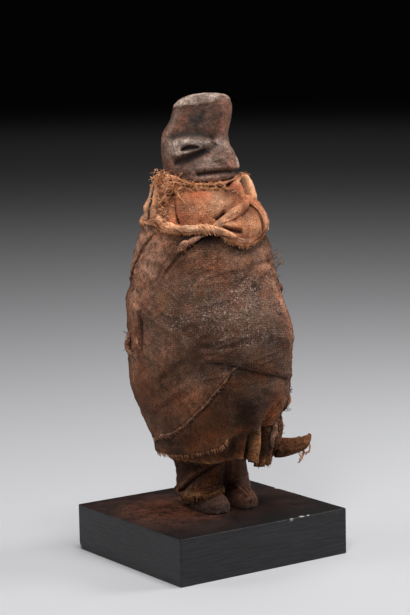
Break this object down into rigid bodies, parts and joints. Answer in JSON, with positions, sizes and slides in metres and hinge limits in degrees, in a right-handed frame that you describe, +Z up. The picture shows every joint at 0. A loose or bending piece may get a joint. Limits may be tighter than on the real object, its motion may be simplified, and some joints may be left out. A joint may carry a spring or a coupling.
{
  "type": "carved wooden power figure wrapped in cloth",
  "caption": "Small carved wooden standing figure with a crested head, bundled in old cloth from neck to ankles, on a black painted wooden block.",
  "frame": {"origin": "centre of the block's underside, on the surface that it stands on", "axes": "+Z up; -Y is the front of the block, and the figure faces -Y turned 18 degrees towards +X"},
  "size_m": [0.13, 0.12, 0.2985],
  "materials": {
    "black_paint": "satin black paint over fine-grained wood",
    "dark_wood": "dark brown carved wood, worn smooth",
    "brown_cloth": "old plain-woven cloth, stained brown and crusted",
    "red_brown_cloth": "old plain-woven cloth, stained reddish brown",
    "dark_cloth": "old plain-woven cloth, stained dark brown",
    "tan_cloth": "old plain-woven cloth, orange tan with frayed edges",
    "pale_yarn": "twisted plant-fibre yarn"
  },
  "bodies": {
    "root": {"plinth": "black_paint", "carved_figure": "dark_wood", "outer_wrap": "brown_cloth", "under_wrap": "red_brown_cloth", "leg_cloth": "dark_cloth", "tail_cloth": "red_brown_cloth", "neck_cloth": "tan_cloth", "neck_cord": "pale_yarn"}
  },
  "joints": []
}
